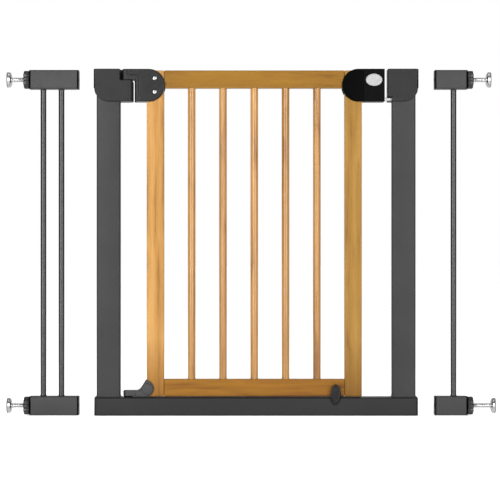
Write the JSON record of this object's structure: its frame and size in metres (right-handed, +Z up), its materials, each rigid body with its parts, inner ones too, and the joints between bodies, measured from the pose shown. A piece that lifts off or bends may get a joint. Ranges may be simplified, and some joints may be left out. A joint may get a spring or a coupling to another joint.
{
  "type": "safety gate",
  "caption": "Pressure-fit safety gate: steel U-frame, hinged wooden leaf with round bars, button latch, and two width extensions with hand-screwed wall feet.",
  "frame": {"origin": "middle of the underside of the gate's bottom bar, on the floor", "axes": "+X to the right seen from the front, along the opening; +Y from the front to the back; +Z up"},
  "size_m": [1.0731, 0.0462, 0.76],
  "materials": {
    "frame_steel": "fine-texture charcoal powder coat",
    "varnished_wood": "honey-coloured satin varnish on pale hardwood",
    "cap_plastic": "dark grey satin moulded plastic",
    "fitting_plastic": "mid grey satin moulded plastic",
    "latch_plastic": "black satin moulded plastic",
    "black_plastic": "black moulded plastic",
    "button_plastic": "pale grey gloss plastic",
    "plated_steel": "zinc-plated steel",
    "chrome_spindle": "chromed steel",
    "pad_rubber": "pale grey rubber"
  },
  "bodies": {
    "frame": {"left_post": "frame_steel", "right_post": "frame_steel", "bottom_bar": "frame_steel", "bar_end_plug_left": "cap_plastic", "bar_end_plug_right": "cap_plastic", "hinge_housing_front": "cap_plastic", "hinge_housing_rear": "cap_plastic", "keeper_front": "cap_plastic", "keeper_rear": "cap_plastic", "lower_hinge_bush": "black_plastic"},
    "leaf": {"left_stile": "varnished_wood", "right_stile": "varnished_wood", "top_rail": "varnished_wood", "bottom_rail": "varnished_wood", "leaf_bar_1": "varnished_wood", "leaf_bar_2": "varnished_wood", "leaf_bar_3": "varnished_wood", "leaf_bar_4": "varnished_wood", "leaf_bar_5": "varnished_wood", "hinge_leaf_front": "cap_plastic", "hinge_leaf_rear": "cap_plastic", "hinge_screw_upper": "plated_steel", "hinge_screw_lower": "plated_steel", "hinge_pin": "plated_steel", "lower_hinge_bracket": "fitting_plastic", "lower_hinge_pin": "plated_steel", "latch_housing_front": "latch_plastic", "latch_housing_rear": "latch_plastic", "door_stop_screw": "plated_steel"},
    "latch_button": {"latch_button": "button_plastic"},
    "latch_bolt": {"latch_bolt": "plated_steel", "latch_spring": "plated_steel"},
    "door_stop": {"door_stop": "fitting_plastic"},
    "left_extension": {"left_top_rail": "frame_steel", "left_top_inner_plug": "black_plastic", "left_top_outer_plug": "black_plastic", "left_bottom_rail": "frame_steel", "left_bottom_inner_plug": "black_plastic", "left_bottom_outer_plug": "black_plastic", "left_upright_1": "frame_steel", "left_upright_2": "frame_steel"},
    "right_extension": {"right_top_rail": "frame_steel", "right_top_inner_plug": "black_plastic", "right_top_outer_plug": "black_plastic", "right_bottom_rail": "frame_steel", "right_bottom_inner_plug": "black_plastic", "right_bottom_outer_plug": "black_plastic", "right_upright": "frame_steel"},
    "left_top_wheel": {"left_top_wheel": "black_plastic"},
    "left_top_spindle": {"left_top_spindle": "chrome_spindle", "left_top_pad": "pad_rubber"},
    "left_bottom_wheel": {"left_bottom_wheel": "black_plastic"},
    "left_bottom_spindle": {"left_bottom_spindle": "chrome_spindle", "left_bottom_pad": "pad_rubber"},
    "right_top_wheel": {"right_top_wheel": "black_plastic"},
    "right_top_spindle": {"right_top_spindle": "chrome_spindle", "right_top_pad": "pad_rubber"},
    "right_bottom_wheel": {"right_bottom_wheel": "black_plastic"},
    "right_bottom_spindle": {"right_bottom_spindle": "chrome_spindle", "right_bottom_pad": "pad_rubber"}
  },
  "joints": [
    {"name": "leaf_swing", "type": "hinge", "parent": "frame", "child": "leaf", "pos_m": [-0.2815, 0, 0.04], "axis": [0, 0, -1], "range_deg": [0, 90]},
    {"name": "button_press", "type": "slide", "parent": "leaf", "child": "latch_button", "axis": [0, 1, 0], "range_m": [0, 0.004], "stiffness_N_per_m": 400, "springref_m": -0.002},
    {"name": "bolt_slide", "type": "slide", "parent": "leaf", "child": "latch_bolt", "axis": [-1, 0, 0], "range_m": [0, 0.008], "deforming": ["latch_spring"]},
    {"name": "door_stop_turn", "type": "hinge", "parent": "leaf", "child": "door_stop", "pos_m": [0.1737, -0.0206, 0.058], "axis": [0, 1, 0], "range_deg": [0, 90]},
    {"name": "left_extension_dock", "type": "slide", "parent": "frame", "child": "left_extension", "axis": [1, 0, 0], "range_m": [0, 0.033]},
    {"name": "right_extension_dock", "type": "slide", "parent": "frame", "child": "right_extension", "axis": [-1, 0, 0], "range_m": [0, 0.0355]},
    {"name": "left_top_wheel_turn", "type": "hinge", "parent": "left_extension", "child": "left_top_wheel", "pos_m": [-0.4975, 0, 0.737], "axis": [1, 0, 0], "range_deg": [-3640, 3640]},
    {"name": "left_top_spindle_travel", "type": "slide", "parent": "left_extension", "child": "left_top_spindle", "axis": [-1, 0, 0], "range_m": [-0.02, 0.02]},
    {"name": "left_bottom_wheel_turn", "type": "hinge", "parent": "left_extension", "child": "left_bottom_wheel", "pos_m": [-0.4975, 0, 0.021], "axis": [1, 0, 0], "range_deg": [-3640, 3640]},
    {"name": "left_bottom_spindle_travel", "type": "slide", "parent": "left_extension", "child": "left_bottom_spindle", "axis": [-1, 0, 0], "range_m": [-0.02, 0.02]},
    {"name": "right_top_wheel_turn", "type": "hinge", "parent": "right_extension", "child": "right_top_wheel", "pos_m": [0.464, 0, 0.737], "axis": [-1, 0, 0], "range_deg": [-3640, 3640]},
    {"name": "right_top_spindle_travel", "type": "slide", "parent": "right_extension", "child": "right_top_spindle", "axis": [1, 0, 0], "range_m": [-0.02, 0.02]},
    {"name": "right_bottom_wheel_turn", "type": "hinge", "parent": "right_extension", "child": "right_bottom_wheel", "pos_m": [0.464, 0, 0.021], "axis": [-1, 0, 0], "range_deg": [-3640, 3640]},
    {"name": "right_bottom_spindle_travel", "type": "slide", "parent": "right_extension", "child": "right_bottom_spindle", "axis": [1, 0, 0], "range_m": [-0.02, 0.02]}
  ],
  "couplings": [
    {"joint": "bolt_slide", "follows": "button_press", "ratio": 2},
    {"joint": "left_top_wheel_turn", "follows": "left_top_spindle_travel", "rad_per_m": 3141.6},
    {"joint": "left_bottom_wheel_turn", "follows": "left_bottom_spindle_travel", "rad_per_m": 3141.6},
    {"joint": "right_top_wheel_turn", "follows": "right_top_spindle_travel", "rad_per_m": 3141.6},
    {"joint": "right_bottom_wheel_turn", "follows": "right_bottom_spindle_travel", "rad_per_m": 3141.6}
  ]
}
